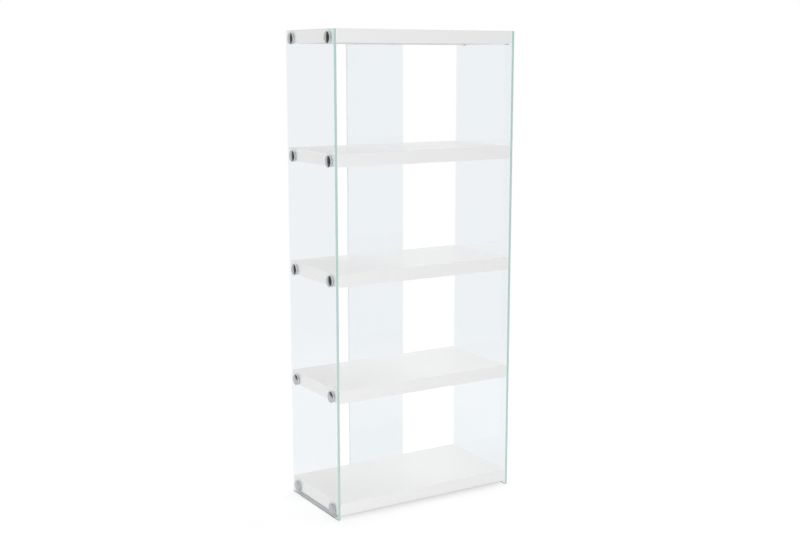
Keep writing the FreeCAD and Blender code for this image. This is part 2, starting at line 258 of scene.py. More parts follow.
@dataclass(frozen=True)
class Finish:
    """Look of a surface, whose tone drifts from pale to deep, and whose polish may drift too.

    Patches can be finer along an axis, by the stretch. Some rays may go straight through the surface, tinted:
    each is given as the kind of node that tells it and the name of that node's output. Where the surface is
    seen behind glass, its tone may be multiplied by a colour that makes up for the glass's tint.
    """

    name: str
    pale: Colour
    deep: Colour
    patch_size: float
    polish: Span | None = None
    stretch: Triple = (1.0, 1.0, 1.0)
    grain: Grain | None = None
    clear_to: Rays = ()
    clear_tint: Colour = (1.0, 1.0, 1.0)
    behind_glass: Colour | None = None

    def inputs(self) -> Inputs:
        """What the shader is given besides tone, polish and grain."""
        return {}

    def make(self, group: SurfaceDrift) -> Material:
        """Builds the material.

        Args:
            group: The shared group.

        Returns:
            The material.
        """
        material = bpy.data.materials.new(self.name)
        tree = bare_tree(material)
        shader = add_node(tree, "ShaderNodeBsdfPrincipled", self.inputs())
        height = self._drift(group, shader)
        if self.grain:
            relief = {"Height": height, "Distance": self.grain.depth, "Strength": self.grain.strength}
            fill(shader, {"Normal": add_node(tree, "ShaderNodeBump", relief).outputs["Normal"]})
        result = shader.outputs["BSDF"]
        for kind, ray in self.clear_to:
            clear = add_node(tree, "ShaderNodeBsdfTransparent", {"Color": opaque(self.clear_tint)})
            ways = {"Fac": add_node(tree, kind).outputs[ray], 1: result, 2: clear.outputs["BSDF"]}
            result = add_node(tree, "ShaderNodeMixShader", ways).outputs["Shader"]
        add_node(tree, "ShaderNodeOutputMaterial", {"Surface": result})
        return material

    def _drift(self, group: SurfaceDrift, shader: Node) -> NodeSocket:
        """Places the drift group on object coordinates and joins what it varies to the shader.

        Args:
            group: The shared group.
            shader: The shader.

        Returns:
            Height of the grain, from 0 to 1.
        """
        tree = shader.id_data
        place = add_node(tree, "ShaderNodeTexCoord").outputs["Object"]
        mapping = add_node(tree, "ShaderNodeMapping", {"Vector": place, "Scale": self.stretch})
        inputs = {
            "Vector": mapping.outputs["Vector"],
            "Pale": opaque(self.pale),
            "Deep": opaque(self.deep),
            "Patch Size": self.patch_size,
        }
        if self.polish:
            inputs["Smoothest"], inputs["Roughest"] = self.polish
        if self.grain:
            inputs["Grain Size"] = self.grain.size
        varied = add_node(tree, "ShaderNodeGroup", inputs, node_tree=group.tree).outputs
        tone = varied["Color"]
        if self.behind_glass:
            behind = add_node(tree, "ShaderNodeLightPath").outputs["Is Transmission Ray"]
            tones = {"Factor_Float": behind, "A_Color": tone, "B_Color": opaque(self.behind_glass)}
            tone = blend_tones(tree, tones, "MULTIPLY")
        fill(shader, {"Base Color": tone})
        if self.polish:
            fill(shader, {"Roughness": varied["Roughness"]})
        return varied["Height"]


@dataclass(frozen=True)
class ClearGlass(Finish):
    """Polished face of the glass: almost colourless, a little blue. Light falls through it unbent."""

    name: str = "clear_glass_face"
    pale: Colour = (0.845, 0.879, 0.905)
    deep: Colour = (0.835, 0.872, 0.900)
    patch_size: float = 0.6
    clear_to: Rays = (("ShaderNodeLightPath", "Is Shadow Ray"), ("ShaderNodeLightPath", "Is Diffuse Ray"))
    clear_tint: Colour = (0.97, 0.98, 0.98)
    ior: float = 1.5

    def inputs(self) -> Inputs:
        """Smooth and all clear."""
        return {"Roughness": 0.0, "Transmission Weight": 1.0, "IOR": self.ior}


@dataclass(frozen=True)
class GlassEdge(Finish):
    """Ground and polished edge of the glass, streaked, and clear when it is seen from inside the glass."""

    patch_size: float = 120 * MM
    polish: Span | None = (0.12, 0.3)
    stretch: Triple = (3.0, 3.0, 1.0)
    grain: Grain | None = Grain(0.3, size=1.5 * MM)
    clear_to: Rays = (("ShaderNodeNewGeometry", "Backfacing"),)
    clear_tint: Colour = (0.94, 0.97, 0.97)
    transmission: float = 0.0
    ior: float = 1.5

    def inputs(self) -> Inputs:
        """As clear as the edge is from outside."""
        return {"Transmission Weight": self.transmission, "IOR": self.ior}


# Along the depth of a side panel the long way through the glass shows green. The upright edges of the back
# panel stay nearly clear, and the feet of all panels are painted dark: painted shade where they stand on the
# floor.
GREEN_EDGE = GlassEdge("glass_edge_green", pale=(0.66, 0.87, 0.82), deep=(0.50, 0.76, 0.70), transmission=0.2)
PALE_EDGE = GlassEdge("glass_edge_pale", pale=(0.80, 0.84, 0.87), deep=(0.75, 0.79, 0.82))
FOOT_SHADE_EDGE = GlassEdge(
    "glass_edge_dark",
    pale=(0.34, 0.38, 0.38),
    deep=(0.26, 0.30, 0.30),
    transmission=0.3,
    clear_to=(),
)


@dataclass(frozen=True)
class WhiteLacquer(Finish):
    """White lacquer, whose gloss is all in a clear coat."""

    patch_size: float = 0.35
    polish: Span | None = (0.25, 0.35)
    coat: float = 0.35

    def inputs(self) -> Inputs:
        """The coat, over a base without gloss."""
        return {"Specular IOR Level": 0.0, "Coat Weight": self.coat, "Coat Roughness": 0.0}


# The shelves are glossy where they show; underneath they are plain and painted darker, as painted shade.
# Behind glass they look a neutral white, as in the photograph, where the blue of the glass shows only on the
# room.
GLOSS_LACQUER = WhiteLacquer(
    "white_gloss_lacquer",
    pale=(0.88, 0.88, 0.88),
    deep=(0.865, 0.865, 0.866),
    behind_glass=(1.065, 1.0, 0.96),
)
SHADED_UNDERSIDE_LACQUER = WhiteLacquer(
    "white_underside_lacquer",
    pale=(0.73, 0.73, 0.73),
    deep=(0.71, 0.71, 0.712),
    polish=(0.6, 0.75),
    coat=0.0,
)


@dataclass(frozen=True)
class Plating(Finish):
    """Plated metal with faint smudges, and a grain where it isn't polished."""

    def inputs(self) -> Inputs:
        """All metal."""
        return {"Metallic": 1.0}


BOLT_CHROME = Plating(
    "bolt_plating",
    pale=(0.50, 0.505, 0.51),
    deep=(0.42, 0.425, 0.43),
    patch_size=12 * MM,
    polish=(0.08, 0.22),
)
INSERT_ZINC = Plating(
    "insert_zinc",
    pale=(0.66, 0.66, 0.63),
    deep=(0.50, 0.50, 0.47),
    patch_size=6 * MM,
    polish=(0.3, 0.5),
    grain=Grain(0.4),
)


@dataclass(frozen=True)
class ClearPlastic(Finish):
    """Milky clear plastic of the washers and bushes."""

    name: str = "clear_washer_plastic"
    pale: Colour = (0.90, 0.94, 0.96)
    deep: Colour = (0.84, 0.89, 0.92)
    patch_size: float = 20 * MM
    polish: Span | None = (0.1, 0.25)
    transmission: float = 0.2
    ior: float = 1.47

    def inputs(self) -> Inputs:
        """Partly clear."""
        return {"Transmission Weight": self.transmission, "IOR": self.ior}


@dataclass(frozen=True)
class KraftPaper(Finish):
    """Brown paper of the shelves' honeycomb cores, with its fibres upright."""

    name: str = "honeycomb_paper"
    pale: Colour = (0.50, 0.36, 0.22)
    deep: Colour = (0.33, 0.22, 0.12)
    patch_size: float = 3 * MM
    polish: Span | None = (0.75, 0.95)
    stretch: Triple = (1.0, 1.0, 0.2)
    grain: Grain | None = Grain(0.5, depth=0.2 * MM)


class Finishes:
    """Every material of the bookcase, made once."""

    def __init__(self) -> None:
        """Builds the shared group and the materials that use it."""
        group = SurfaceDrift()
        self.glass = ClearGlass().make(group)
        self.green_edge = GREEN_EDGE.make(group)
        self.pale_edge = PALE_EDGE.make(group)
        self.dark_edge = FOOT_SHADE_EDGE.make(group)
        self.lacquer = GLOSS_LACQUER.make(group)
        self.underside = SHADED_UNDERSIDE_LACQUER.make(group)
        self.chrome = BOLT_CHROME.make(group)
        self.plastic = ClearPlastic().make(group)
        self.paper = KraftPaper().make(group)
        self.steel = INSERT_ZINC.make(group)


def mesh_of(shape: BMesh, name: str, finishes: Iterable[Material] = ()) -> Mesh:
    """Turns a finished shape into a mesh.

    Args:
        shape: The shape, which is freed.
        name: The mesh's name.
        finishes: Its materials, in the order of their numbers.

    Returns:
        The mesh.
    """
    mesh = bpy.data.meshes.new(name)
    shape.to_mesh(mesh)
    shape.free()
    for finish in finishes:
        mesh.materials.append(finish)
    return mesh


def flat_mesh(name: str, corners: Sequence[Sequence[float]], finish: Material) -> Mesh:
    """Makes a mesh of one flat face.

    Args:
        name: The mesh's name.
        corners: The face's corners in order.
        finish: Its material.

    Returns:
        The mesh.
    """
    mesh = bpy.data.meshes.new(name)
    mesh.from_pydata(corners, [], [range(len(corners))])
    mesh.materials.append(finish)
    return mesh


def join_loops(shape: BMesh, low: Sequence[BMVert], high: Sequence[BMVert]) -> list[BMFace]:
    """Walls between two loops of as many points.

    Args:
        shape: Mesh that holds both loops.
        low: One loop.
        high: The other loop.

    Returns:
        The new faces.
    """
    count = len(low)
    faces = []
    for index in range(count):
        after = (index + 1) % count
        faces.append(shape.faces.new((low[index], low[after], high[after], high[index])))
    return faces


def shade_flats(mesh: Mesh, square: float = 0.9999) -> None:
    """Shades faces square to an axis flat, and the rounded ones between them smooth.

    Args:
        mesh: The mesh.
        square: Least part of a face's normal along an axis that counts as square to it.
    """
    for face in mesh.polygons:
        face.use_smooth = max(abs(value) for value in face.normal) < square


def new_piece(name: str, mesh: Mesh) -> Object:
    """Adds an object that shows a mesh.

    Args:
        name: The object's name.
        mesh: The mesh.

    Returns:
        The object.
    """
    piece = bpy.data.objects.new(name, mesh)
    bpy.context.scene.collection.objects.link(piece)
    return piece


def hand_over(piece: Object, nodes: Sequence[str]) -> None:
    """Puts a finished piece in the place of nodes of the frame.

    Args:
        piece: The piece.
        nodes: The nodes that it stands for.
    """
    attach(piece, BODY)
    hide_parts(*nodes)
    log.info("%s: %d faces, for %s", piece.name, len(piece.data.polygons), ", ".join(nodes))


@dataclass(frozen=True)
class Ring:
    """One ring of points of a turned piece."""

    radius: float
    height: float

    def point(self, angle: float) -> Vector:
        """Point of the ring at an angle about the axis, in radians."""
        return Vector((self.radius * math.cos(angle), self.radius * math.sin(angle), self.height))


@dataclass(frozen=True)
class TurnedPiece:
    """Piece made of rings about its own Z axis, which points away from the glass.

    A hollow piece's last ring joins its first. Another is closed by a flat at each end.
    """

    rings: tuple[Ring, ...]
    hollow: bool
    sides: int = 48
    sharp_angle: float = math.radians(35.0)

    def mesh(self, name: str) -> Mesh:
        """Builds the piece.

        Args:
            name: The mesh's name.

        Returns:
            A closed mesh, smooth but for its sharp edges.
        """
        shape = bmesh.new()
        angles = [2.0 * math.pi * side / self.sides for side in range(self.sides)]
        loops = [[shape.verts.new(ring.point(angle)) for angle in angles] for ring in self.rings]
        pairs = list(zip(loops, loops[1:]))
        if self.hollow:
            pairs.append((loops[-1], loops[0]))
        else:
            shape.faces.new(loops[0])
            shape.faces.new(loops[-1])
        for low, high in pairs:
            join_loops(shape, low, high)
        bmesh.ops.recalc_face_normals(shape, faces=shape.faces)
        mesh = mesh_of(shape, name)
        mesh.shade_smooth()
        mesh.set_sharp_from_angle(angle=self.sharp_angle)
        return mesh


@dataclass(frozen=True)
class RoundedBoard:
    """Flat board about its own centre, with a rounded outline and eased edges. Its thickness is along Z."""

    width: float
    height: float
    thickness: float
    corner_radius: float
    easing: float
    easing_steps: int
    corner_steps: int = 6

    FLAT, EDGE = 0, 1

    def _outline(self, inset: float) -> list[Span]:
        """Rounded rectangle, drawn in from the board's outline.

        Args:
            inset: How far in.

        Returns:
            Its points in order.
        """
        reach = self.corner_radius
        radius = reach - inset
        points = []
        for quarter, (right, top) in enumerate(((1, 1), (-1, 1), (-1, -1), (1, -1))):
            x = right * (self.width / 2.0 - reach)
            y = top * (self.height / 2.0 - reach)
            for step in range(self.corner_steps + 1):
                angle = (quarter + step / self.corner_steps) * math.pi / 2.0
                points.append((x + radius * math.cos(angle), y + radius * math.sin(angle)))
        return points

    def _levels(self) -> list[Span]:
        """Works out the loops from the lower flat to the upper one.

        Returns:
            Inset and height of each loop.
        """
        half = self.thickness / 2.0
        lower = []
        for step in range(self.easing_steps + 1):
            angle = step / self.easing_steps * math.pi / 2.0
            inset, rise = self.easing * (1.0 - math.sin(angle)), self.easing * (1.0 - math.cos(angle))
            lower.append((inset, rise - half))
        return lower + [(inset, -height) for inset, height in reversed(lower)]

    def add_to(self, shape: BMesh, place: Matrix) -> None:
        """Adds the board to a shape, its flats and its edges with material numbers of their own.

        Args:
            shape: Shape that gets the board.
            place: Where the board's centre and axes go.
        """
        loops = []
        for inset, height in self._levels():
            points = [place @ Vector((x, y, height)) for x, y in self._outline(inset)]
            loops.append([shape.verts.new(point) for point in points])
        faces = [shape.faces.new(loops[0]), shape.faces.new(loops[-1])]
        for flat in faces:
            flat.material_index = self.FLAT
        for low, high in zip(loops, loops[1:]):
            walls = join_loops(shape, low, high)
            for wall in walls:
                wall.material_index = self.EDGE
            faces += walls
        bmesh.ops.recalc_face_normals(shape, faces=faces)


@dataclass(frozen=True)
class BoltGrid:
    """Where a panel's bolts stand. The centre is on the outer face of the glass."""

    panel: Panel
    centre: Vector
    span: float
    rise: float
    columns: int = 2
    rows: int = len(LEVELS)

    @classmethod
    def of_panel(cls, panel: Panel, head_diameter: float) -> BoltGrid:
        """Reads a panel's grid from the frame.

        Args:
            panel: The panel.
            head_diameter: Diameter of its bolt heads.

        Returns:
            The grid.
        """
        low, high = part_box(f"{panel.key}_bolts")
        glass_low, glass_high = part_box(f"{panel.key}_glass_panel")
        bolts, glass = high - low, glass_high - glass_low
        middle = (low + high) / 2.0
        glass_middle = (glass_low + glass_high) / 2.0
        outward = panel.outward
        outer_face = glass_middle.dot(outward) + abs(glass.dot(outward)) / 2.0
        centre = middle + outward * (outer_face - middle.dot(outward))
        span = abs(bolts.dot(panel.across)) - head_diameter
        return cls(panel, centre, span, bolts.z - head_diameter)

    def settings(self) -> dict[str, Any]:
        """Gives the grid to a node tool.

        Returns:
            The tool's inputs, by their names.
        """
        return {
            "Span": self.span,
            "Rise": self.rise,
            "Columns": self.columns,
            "Rows": self.rows,
            "Centre": self.centre,
            "Facing": self.panel.turn.to_euler(),
        }


class NodeTool:
    """Geometry Nodes tree with named inputs, which is run once on an object."""

    NAME = ""
    GRID_INPUTS = {
        "Geometry": "NodeSocketGeometry",
        "Span": "NodeSocketFloat",
        "Rise": "NodeSocketFloat",
        "Columns": "NodeSocketInt",
        "Rows": "NodeSocketInt",
        "Centre": "NodeSocketVector",
        "Facing": "NodeSocketVector",
        "Finish": "NodeSocketMaterial",
    }
    MORE_INPUTS: Mapping[str, str] = {}

    def __init__(self) -> None:
        """Builds the tree."""
        self.tree = bpy.data.node_groups.new(self.NAME, "GeometryNodeTree")
        self.identifiers = {}
        for name, kind in {**self.GRID_INPUTS, **self.MORE_INPUTS}.items():
            socket = self.tree.interface.new_socket(name=name, in_out="INPUT", socket_type=kind)
            self.identifiers[name] = socket.identifier
        self.tree.interface.new_socket(name="Geometry", in_out="OUTPUT", socket_type="NodeSocketGeometry")
        self.given = add_node(self.tree, "NodeGroupInput").outputs
        add_node(self.tree, "NodeGroupOutput", {"Geometry": self._made()})

    def _made(self) -> NodeSocket:
        """Joins the tree's nodes.

        Returns:
            What the tree makes.
        """
        raise NotImplementedError

    def _on_grid(self, piece: NodeSocket) -> NodeSocket:
        """Stands a copy of a piece at each place of the bolt grid.

        Args:
            piece: The piece, its Z axis pointing away from the glass.

        Returns:
            The copies, real and in place.
        """
        given = self.given
        size = {"Size X": given["Span"], "Size Y": given["Rise"]}
        counts = {"Vertices X": given["Columns"], "Vertices Y": given["Rows"]}
        points = add_node(self.tree, "GeometryNodeMeshGrid", {**size, **counts}).outputs["Mesh"]
        copies = add_node(self.tree, "GeometryNodeInstanceOnPoints", {"Points": points, "Instance": piece})
        loose = {"Geometry": copies.outputs["Instances"]}
        stand = {"Translation": given["Centre"], "Rotation": given["Facing"]}
        stood = add_node(self.tree, "GeometryNodeTransform", {**loose, **stand})
        real = add_node(self.tree, "GeometryNodeRealizeInstances", {"Geometry": stood.outputs["Geometry"]})
        dressing = {"Geometry": real.outputs["Geometry"], "Material": given["Finish"]}
        return add_node(self.tree, "GeometryNodeSetMaterial", dressing).outputs["Geometry"]

    def run(self, piece: Object, settings: Mapping[str, Any]) -> None:
        """Replaces an object's mesh by what the tree makes of it.

        Args:
            piece: The object.
            settings: The tree's inputs, by their names.
        """
        modifier = piece.modifiers.new(self.NAME, "NODES")
        modifier.node_group = self.tree
        for name, value in settings.items():
            modifier[self.identifiers[name]] = value
        evaluated = piece.evaluated_get(bpy.context.evaluated_depsgraph_get())
        mesh = bpy.data.meshes.new_from_object(evaluated)
        piece.modifiers.remove(modifier)
        mesh.name = piece.name
        piece.data = mesh


class PieceGrid(NodeTool):
    """Stands a copy of one turned piece at every bolt of a panel."""

    NAME = "pieces_on_bolt_grid"
    MORE_INPUTS = {"Piece": "NodeSocketObject"}

    def _made(self) -> NodeSocket:
        """Copies the piece.

        Returns:
            The copies alone.
        """
        piece = add_node(self.tree, "GeometryNodeObjectInfo", {"Object": self.given["Piece"]})
        return self._on_grid(piece.outputs["Geometry"])


class BoltDrill(NodeTool):
    """Drills a round hole at every bolt of a panel."""

    NAME = "holes_on_bolt_grid"
    MORE_INPUTS = {"Radius": "NodeSocketFloat", "Depth": "NodeSocketFloat", "Sink": "NodeSocketVector"}
    SIDES = 32

    def _made(self) -> NodeSocket:
        """Takes a drill's cylinders away from the given geometry.

        Returns:
            The drilled geometry.
        """
        given = self.given
        size = {"Vertices": self.SIDES, "Radius": given["Radius"], "Depth": given["Depth"]}
        drill = add_node(self.tree, "GeometryNodeMeshCylinder", size)
        sinking = {"Geometry": drill.outputs["Mesh"], "Translation": given["Sink"]}
        sunk = add_node(self.tree, "GeometryNodeTransform", sinking)
        cutting = {"Mesh 1": given["Geometry"], "Mesh 2": self._on_grid(sunk.outputs["Geometry"])}
        cut = add_node(self.tree, "GeometryNodeMeshBoolean", cutting, operation="DIFFERENCE", solver="EXACT")
        return cut.outputs["Mesh"]

    def drill(self, piece: Object, grid: BoltGrid, bore: float, reach: Span, finish: Material) -> None:
        """Drills an object.

        Args:
            piece: The object.
            grid: Where the holes go.
            bore: Their diameter.
            reach: Where they end and where they start, outward from the glass's outer face.
            finish: Material of their walls.
        """
        bottom, top = reach
        hole = {"Radius": bore / 2.0, "Depth": top - bottom, "Sink": UP * (top + bottom) / 2.0}
        self.run(piece, {**grid.settings(), **hole, "Finish": finish})


@dataclass(frozen=True)
class Hardware:
    """Sizes of what joins a shelf to a glass panel, along the bolt's axis from the glass's outer face."""

    glass: float = 8 * MM
    head_diameter: float = 34 * MM
    head_thickness: float = 3.5 * MM
    head_easing: float = 0.3 * MM
    rim: float = 1 * MM
    rim_steps: int = 4
    dome: float = 1.6 * MM
    dome_steps: int = 10
    shank_diameter: float = 7.8 * MM
    tip: float = 1 * MM
    engagement: float = 18 * MM
    washer_bore: float = 8.4 * MM
    washer_diameter: float = 33 * MM
    outer_washer: float = 2.5 * MM
    inner_washer: float = 1 * MM
    washer_easing: float = 0.25 * MM
    washer_play: float = 0.05 * MM
    glass_bore: float = 12 * MM
    bush_diameter: float = 11.8 * MM
    insert_diameter: float = 14 * MM
    insert_bore: float = 8 * MM
    insert_length: float = 22 * MM
    barb_depth: float = 0.5 * MM
    barbs: int = 8
    insert_hole: float = 14.2 * MM

    @property
    def shelf_face(self) -> float:
        """Height of the shelf's face, behind the glass and the inner washer."""
        return -(self.glass + self.inner_washer)

    def bolt(self) -> TurnedPiece:
        """Bolt with a plain disc head: rounded rim and low dome.

        Returns:
            The bolt.
        """
        shank, head = self.shank_diameter / 2.0, self.head_diameter / 2.0
        tip = self.shelf_face - self.engagement
        under, top = self.outer_washer, self.outer_washer + self.head_thickness
        rings = [
            Ring(shank - self.tip, tip),
            Ring(shank, tip + self.tip),
            Ring(shank, under),
            Ring(head - self.head_easing, under),
            Ring(head, under + self.head_easing),
        ]
        edge = head - self.rim
        curve = (edge**2 + self.dome**2) / (2.0 * self.dome)
        tilt = math.asin(edge / curve)
        for step in range(self.rim_steps):
            angle = step / self.rim_steps * (math.pi / 2.0 - tilt)
            out, up = self.rim * math.cos(angle), self.rim * math.sin(angle)
            rings.append(Ring(edge + out, top - self.dome - self.rim + up))
        for step in range(self.dome_steps):
            angle = tilt * (1.0 - step / self.dome_steps)
            rings.append(Ring(curve * math.sin(angle), top - curve * (1.0 - math.cos(angle))))
        return TurnedPiece(tuple(rings), hollow=False)

    def ring(self, bore: float, diameter: float, low: float, high: float) -> TurnedPiece:
        """Ring with eased outer edges, and a little play at both ends.

        Args:
            bore: Its inner diameter.
            diameter: Its outer diameter.
            low: Where it starts.
            high: Where it ends.

        Returns:
            The ring.
        """
        inner, outer, easing = bore / 2.0, diameter / 2.0, self.washer_easing
        low, high = low + self.washer_play, high - self.washer_play
        rings = (
            Ring(inner, low),
            Ring(outer - easing, low),
            Ring(outer, low + easing),
            Ring(outer, high - easing),
            Ring(outer - easing, high),
            Ring(inner, high),
        )
        return TurnedPiece(rings, hollow=True)

    def insert(self) -> TurnedPiece:
        """Insert with barbs that grip the rail.

        Returns:
            The insert.
        """
        inner, outer = self.insert_bore / 2.0, self.insert_diameter / 2.0
        pitch = self.insert_length / self.barbs
        far = self.shelf_face - self.insert_length
        rings = [Ring(inner, far)]
        for barb in range(self.barbs):
            rings.append(Ring(outer - self.barb_depth, far + barb * pitch))
            rings.append(Ring(outer, far + (barb + 1) * pitch - self.barb_depth))
        rings += [Ring(outer - self.barb_depth, self.shelf_face), Ring(inner, self.shelf_face)]
        return TurnedPiece(tuple(rings), hollow=True)


@dataclass(frozen=True)
class Fastenings:
    """Bolts, washers, bushes and inserts of one glass panel."""

    grid: BoltGrid
    hardware: Hardware
    tool: PieceGrid
    finishes: Finishes

    def build(self) -> None:
        """Builds and dresses the five kinds of piece."""
        sizes, finishes = self.hardware, self.finishes
        glass, bore, diameter = -sizes.glass, sizes.washer_bore, sizes.washer_diameter
        outer_washer = sizes.ring(bore, diameter, 0.0, sizes.outer_washer)
        inner_washer = sizes.ring(bore, diameter, sizes.shelf_face, glass)
        bush = sizes.ring(bore, sizes.bush_diameter, glass, 0.0)
        self._stand("bolts", sizes.bolt(), finishes.chrome)
        self._stand("outer_washers", outer_washer, finishes.plastic)
        self._stand("glass_bushes", bush, finishes.plastic)
        self._stand("inner_washers", inner_washer, finishes.plastic)
        self._stand("shelf_inserts", sizes.insert(), finishes.steel)

    def _stand(self, kind: str, turned: TurnedPiece, finish: Material) -> None:
        """Stands one kind of piece at every bolt.

        Args:
            kind: Last words of the node's name.
            turned: The piece.
            finish: Its material.
        """
        node = f"{self.grid.panel.key}_{kind}"
        master = new_piece(f"{node}_master", turned.mesh(f"{node}_master"))
        piece = new_piece(f"{node}_set", bpy.data.meshes.new(node))
        self.tool.run(piece, {**self.grid.settings(), "Piece": master, "Finish": finish})
        bpy.data.objects.remove(master)
        hand_over(piece, [node])


@dataclass(frozen=True)
class GlassPane:
    """Upright pane of clear glass with ground arrises and a hole for every bolt."""

    grid: BoltGrid
    hardware: Hardware
    corner_radius: float = 4 * MM
    arris: float = 0.7 * MM
    past: float = 1 * MM
    foot_slope: float = 0.6

    def build(self, drill: BoltDrill, finishes: Finishes) -> None:
        """Builds and dresses the pane.

        Args:
            drill: Tool for its holes.
            finishes: The materials.
        """
        panel = self.grid.panel
        node = f"{panel.key}_glass_panel"
        low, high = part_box(node)
        size = high - low
        width, thickness = abs(size.dot(panel.across)), abs(size.dot(panel.outward))
        board = RoundedBoard(width, size.z, thickness, self.corner_radius, self.arris, easing_steps=1)
        shape = bmesh.new()
        board.add_to(shape, Matrix.Translation((low + high) / 2.0) @ panel.turn.to_4x4())
        upright_edge = finishes.pale_edge if panel is Panel.BACK else finishes.green_edge
        mesh = mesh_of(shape, node, (finishes.glass, upright_edge, finishes.dark_edge))
        # Downward edge faces, the feet, take the dark finish, which is painted shade.
        for face in mesh.polygons:
            if face.material_index == board.EDGE and face.normal.z < -self.foot_slope:
                face.material_index = board.EDGE + 1
        pane = new_piece(f"{panel.key}_pane", mesh)
        reach = (-thickness - self.past, self.past)
        drill.drill(pane, self.grid, self.hardware.glass_bore, reach, finishes.pale_edge)
        shade_flats(pane.data)
        hand_over(pane, [node])


@dataclass(frozen=True)
class Shelf:
    """Thick hollow shelf: a lacquered box round its paper core."""

    level: str
    hardware: Hardware
    corner_radius: float = 2 * MM
    edge_radius: float = 1.5 * MM
    edge_steps: int = 4
    past: float = 0.5 * MM
    square: float = 0.99

    OUTSIDE, UNDERSIDE = 0, 1

    @property
    def nodes(self) -> list[str]:
        """Names of the boards that the lacquer covers."""
        return [f"{self.level}_shelf_{board}" for board in SHELF_BOARDS]

    @property
    def core(self) -> str:
        """Name of the paper core."""
        return f"{self.level}_shelf_core"

    def _box(self) -> tuple[Vector, Vector]:
        """Box of the whole shelf.

        Returns:
            Its lowest and its highest corner.
        """
        boxes = [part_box(node) for node in self.nodes]
        low = Vector(min(box[0][axis] for box in boxes) for axis in range(3))
        high = Vector(max(box[1][axis] for box in boxes) for axis in range(3))
        return low, high

    def _hollow(self, shape: BMesh) -> None:
        """Adds the walls of the space that the core fills, facing into it.

        Args:
            shape: Shape that gets the walls.
        """
        low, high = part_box(self.core)
        place = Matrix.Translation((low + high) / 2.0) @ Matrix.Diagonal((*(high - low), 1.0))
        made = bmesh.ops.create_cube(shape, size=1.0, matrix=place)
        walls = list({face for corner in made["verts"] for face in corner.link_faces})
        bmesh.ops.reverse_faces(shape, faces=walls)

    def build(self, drill: BoltDrill, grids: Sequence[BoltGrid], finishes: Finishes) -> None:
        """Builds and dresses the shelf.

        Args:
            drill: Tool for the holes of the inserts.
            grids: Bolts of the panels that the shelf is fixed to.
            finishes: The materials.
        """
        low, high = self._box()
        size = high - low
        board = RoundedBoard(size.x, size.y, size.z, self.corner_radius, self.edge_radius, self.edge_steps)
        shape = bmesh.new()
        board.add_to(shape, Matrix.Translation((low + high) / 2.0))
        shape.normal_update()
        # Downward faces take the darker underside lacquer, which is painted shade.
        for face in shape.faces:
            face.material_index = self.UNDERSIDE if face.normal.z < -self.square else self.OUTSIDE
        self._hollow(shape)
        mesh = mesh_of(shape, self.level, (finishes.lacquer, finishes.underside))
        shelf = new_piece(f"{self.level}_shelf_body", mesh)
        start = self.hardware.shelf_face
        reach = (start - self.hardware.insert_length, start + self.past)
        for grid in grids:
            drill.drill(shelf, grid, self.hardware.insert_hole, reach, finishes.lacquer)
        shade_flats(shelf.data)
        hand_over(shelf, self.nodes)


class Bookcase:
    """The whole bookcase."""

    def __init__(self, nodes: Mapping[str, Object]) -> None:
        """Makes the tools and materials.

        Args:
            nodes: The frame's own objects, by their nodes' names.
        """
        self.nodes = nodes
        self.finishes = Finishes()
        self.hardware = Hardware()
        self.drill = BoltDrill()
        self.piece_grid = PieceGrid()
        self.grids = [BoltGrid.of_panel(panel, self.hardware.head_diameter) for panel in Panel]

    def build(self) -> None:
        """Builds the panels, the shelves and what joins them."""
        for grid in self.grids:
            GlassPane(grid, self.hardware).build(self.drill, self.finishes)
        for level in LEVELS:
            shelf = Shelf(level, self.hardware)
            shelf.build(self.drill, self.grids, self.finishes)
            for slot in self.nodes[shelf.core].material_slots:
                slot.material = self.finishes.paper
        for grid in self.grids:
            Fastenings(grid, self.hardware, self.piece_grid, self.finishes).build()


def facing(way: Vector) -> Euler:
    """Rotation of a lamp or a camera that looks along a direction."""
    return way.to_track_quat("-Z", "Y").to_euler()


@dataclass(frozen=True)
class Softbox:
    """Large soft lamp that faces the bookcase."""

    name: str
    place: Triple
    aim: Triple
    size: float
    watts: float

    def set_up(self) -> None:
        """Adds the lamp."""
        light = bpy.data.lights.new(self.name, "AREA")
        light.shape = "DISK"
        light.size = self.size
        light.energy = self.watts
        lamp = bpy.data.objects.new(self.name, light)
        lamp.location = self.place
        lamp.rotation_euler = facing(Vector(self.aim) - Vector(self.place))
        lamp.visible_camera = False
        lamp.visible_glossy = False
        lamp.visible_transmission = False
        bpy.context.scene.collection.objects.link(lamp)


@dataclass(frozen=True)
class Flag:
    """Upright dark card beside the bookcase, which shows only as a soft reflection in metal.

    Glass and lacquer mirror sharply, and what they mirror stays white.
    """

    name: str
    way: Triple
    low: float
    high: float
    reach: float = 1.5
    height: float = 3.0
    tone: float = 0.1

    def _finish(self) -> Material:
        """Material of the card: clear to what mirrors sharply, and dark to the rest.

        Returns:
            The material.
        """
        material = bpy.data.materials.new(self.name)
        tree = bare_tree(material)
        dark = add_node(tree, "ShaderNodeEmission", {"Strength": self.tone})
        clear = add_node(tree, "ShaderNodeBsdfTransparent")
        sharp = add_node(tree, "ShaderNodeLightPath").outputs["Is Singular Ray"]
        ways = {"Fac": sharp, 1: dark.outputs["Emission"], 2: clear.outputs["BSDF"]}
        mix = add_node(tree, "ShaderNodeMixShader", ways)
        add_node(tree, "ShaderNodeOutputMaterial", {"Surface": mix.outputs["Shader"]})
        return material

    def set_up(self) -> None:
        """Adds the card, square to the way that it stands from the bookcase."""
        along = Vector((0.0, 1.0, 0.0)) if self.way[0] else Vector((1.0, 0.0, 0.0))
        foot = Vector(self.way) * self.reach
        corners = [foot + along * self.low, foot + along * self.high]
        corners += [corner + UP * self.height for corner in reversed(corners)]
        card = new_piece(self.name, flat_mesh(self.name, corners, self._finish()))
        card.visible_camera = False
        card.visible_diffuse = False
        card.visible_transmission = False
        card.visible_shadow = False


